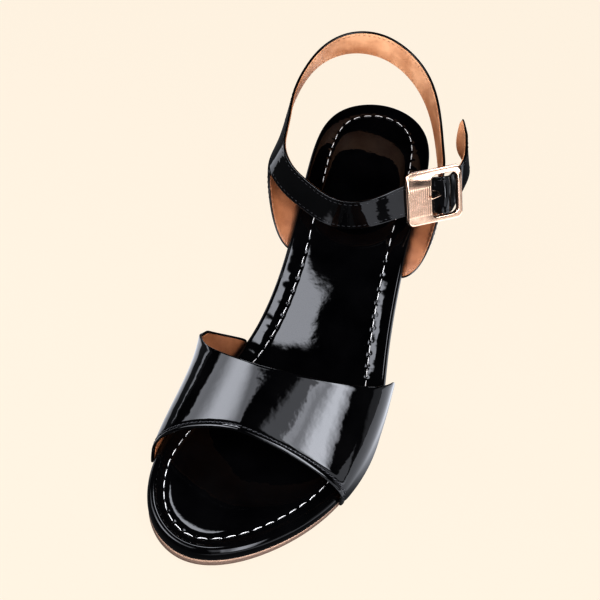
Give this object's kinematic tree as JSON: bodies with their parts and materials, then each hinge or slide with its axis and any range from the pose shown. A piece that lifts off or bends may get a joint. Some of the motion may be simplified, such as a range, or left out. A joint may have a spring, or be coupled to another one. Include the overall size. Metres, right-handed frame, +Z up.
{
  "type": "heeled sandal",
  "caption": "Open-toe block-heel sandal for a left foot: patent band over the toes, padded footbed, ankle strap joined to its side quarters, closed by a rectangular buckle.",
  "frame": {"origin": "on the floor under the middle of the whole shoe's bounding box", "axes": "-Y from heel to toe, +X to the wearer's left (the little-toe side), +Z up from the floor"},
  "size_m": [0.0964, 0.2376, 0.1034],
  "materials": {
    "patent": "black patent gloss, tan lining inside",
    "sole_sheet": "smooth beige sheet",
    "heel_rubber": "matte tan",
    "rose_gold": "polished rose-gold plate"
  },
  "bodies": {
    "root": {"outsole": "sole_sheet", "footbed": "patent", "heel_block": "patent", "top_piece": "heel_rubber", "vamp_band": "patent", "ankle_upper": "patent", "buckle_frame": "rose_gold", "buckle_prong": "rose_gold"}
  },
  "joints": []
}
